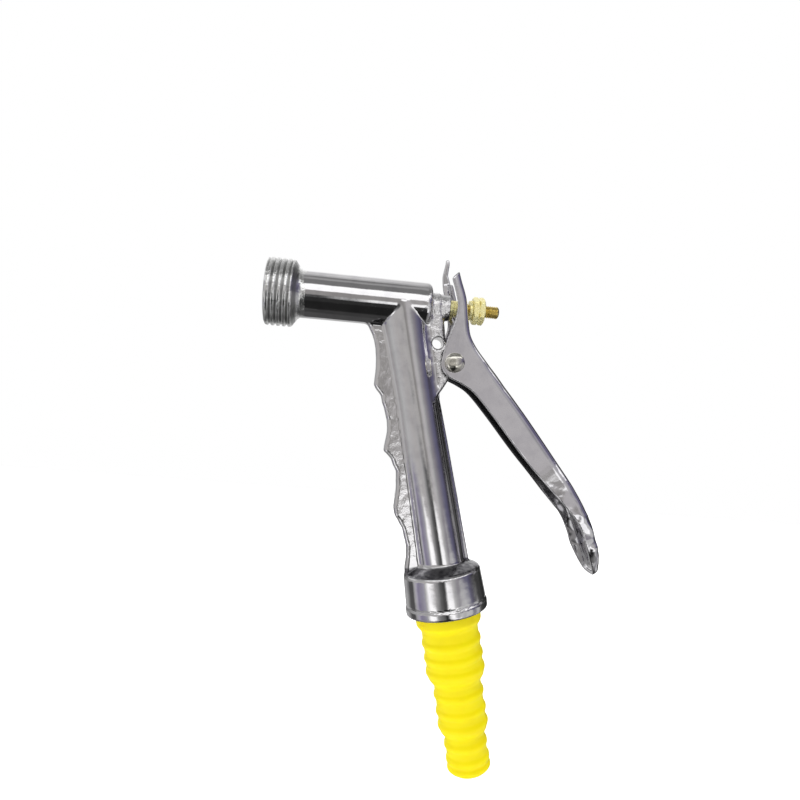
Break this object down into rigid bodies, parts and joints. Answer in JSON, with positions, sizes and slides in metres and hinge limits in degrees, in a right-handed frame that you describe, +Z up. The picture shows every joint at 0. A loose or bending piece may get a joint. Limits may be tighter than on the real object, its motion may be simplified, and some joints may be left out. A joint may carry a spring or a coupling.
{
  "type": "hose spray nozzle",
  "caption": "Pistol-grip hose spray nozzle with a threaded outlet, rear squeeze lever, spring-closed valve stem, adjusting nuts and a stepped hose tail.",
  "frame": {"origin": "centre of the outlet's front face, on the barrel's axis", "axes": "+X runs back along the barrel (water leaves along -X), +Z is up away from the grip, +Y runs across the grip"},
  "size_m": [0.1412, 0.033, 0.2066],
  "materials": {
    "plated_casting": "bright chrome plate over a die casting, slightly wavy, satin in the threads",
    "plated_lever": "bright chrome plate over pressed metal, faint speckle",
    "nickel_rivet": "bright nickel plate, peened",
    "washer_steel": "plain steel",
    "spring_steel": "drawn stainless wire",
    "brass": "turned brass, machined surface",
    "yellow_plastic": "moulded plastic, soft gloss",
    "rubber": "black nitrile rubber"
  },
  "bodies": {
    "body": {"nozzle_body": "plated_casting", "outlet_seat": "brass", "seat_o_ring": "rubber", "return_spring": "spring_steel", "spring_washer": "washer_steel", "packing_ring": "rubber", "packing_washer": "brass", "gland_bush": "brass", "pivot_rivet": "nickel_rivet", "pivot_washers": "washer_steel", "hose_washer": "rubber", "barb_adapter": "yellow_plastic"},
    "stem": {"stem": "brass", "valve_cone": "brass", "valve_washer": "rubber", "valve_disc": "brass", "stem_clip": "washer_steel", "spring_collar": "brass"},
    "lever": {"lever": "plated_lever"},
    "nut_carriage": {"thrust_washer": "brass"},
    "nuts": {"adjusting_nut": "brass", "lock_nut": "brass"}
  },
  "joints": [
    {"name": "lever_squeeze", "type": "hinge", "parent": "body", "child": "lever", "pos_m": [0.0759, 0, -0.0224], "axis": [0, 1, 0], "range_deg": [0, 20]},
    {"name": "stem_slide", "type": "slide", "parent": "body", "child": "stem", "axis": [1, 0, 0], "range_m": [0, 0.0082], "stiffness_N_per_m": 600, "springref_m": -0.008, "deforming": ["return_spring"]},
    {"name": "nut_travel", "type": "slide", "parent": "stem", "child": "nut_carriage", "axis": [1, 0, 0], "range_m": [0, 0.0024]},
    {"name": "nut_spin", "type": "hinge", "parent": "nut_carriage", "child": "nuts", "pos_m": [0.0838, 0, 0], "axis": [1, 0, 0], "range_deg": [0, 1080]}
  ],
  "couplings": [
    {"joint": "stem_slide", "follows": "lever_squeeze", "m_per_rad": 0.0228},
    {"joint": "nut_spin", "follows": "nut_travel", "rad_per_m": 7854}
  ]
}
